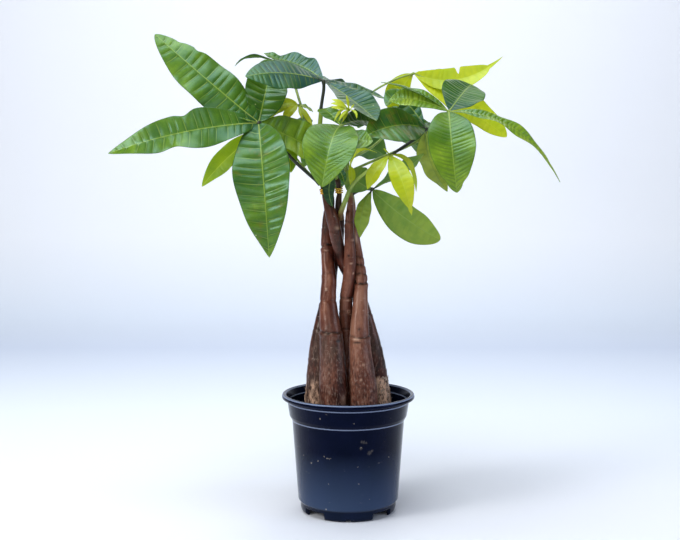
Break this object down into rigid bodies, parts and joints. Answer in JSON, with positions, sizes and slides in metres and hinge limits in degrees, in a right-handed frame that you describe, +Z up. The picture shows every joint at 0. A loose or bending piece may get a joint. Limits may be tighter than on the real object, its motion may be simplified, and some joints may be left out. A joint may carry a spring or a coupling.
{
  "type": "potted money tree",
  "caption": "Potted money tree: braided trunks with palmate leaves on long stalks, standing in soil in a round nursery pot with a rolled rim and a notched foot ring.",
  "frame": {"origin": "on the pot's axis, on the flat pad in the middle of its underside, level with the feet it stands on", "axes": "+Z up along the pot's axis and the plant's height, -Y towards the front as pictured, +X to the viewer's right"},
  "size_m": [0.5329, 0.3192, 0.586],
  "materials": {
    "pot": "satin",
    "soil": "matte",
    "bark": "matte",
    "wire_tie": "polished",
    "leaf_mature": "satin",
    "leaf_young": "satin"
  },
  "bodies": {
    "root": {"pot": "pot", "soil": "soil", "trunk_left_front": "bark", "trunk_right_front": "bark", "trunk_back": "bark", "trunk_right_back": "bark", "trunk_left_back": "bark", "tie_left": "wire_tie", "tie_middle": "wire_tie", "leaf_left_front": "leaf_mature", "leaf_top": "leaf_mature", "leaf_centre": "leaf_mature", "leaf_right": "leaf_mature", "leaf_far_right": "leaf_mature", "leaf_young_top": "leaf_young", "leaf_low_right": "leaf_mature", "leaf_young_shoot": "leaf_young", "spray_top": "leaf_young", "leaf_young_left": "leaf_young", "spray_left": "leaf_young", "leaf_thin_top": "leaf_mature", "leaf_small_hanging": "leaf_mature", "leaf_back_left": "leaf_mature", "leaf_back_right": "leaf_mature", "leaf_back_centre": "leaf_mature"}
  },
  "joints": []
}
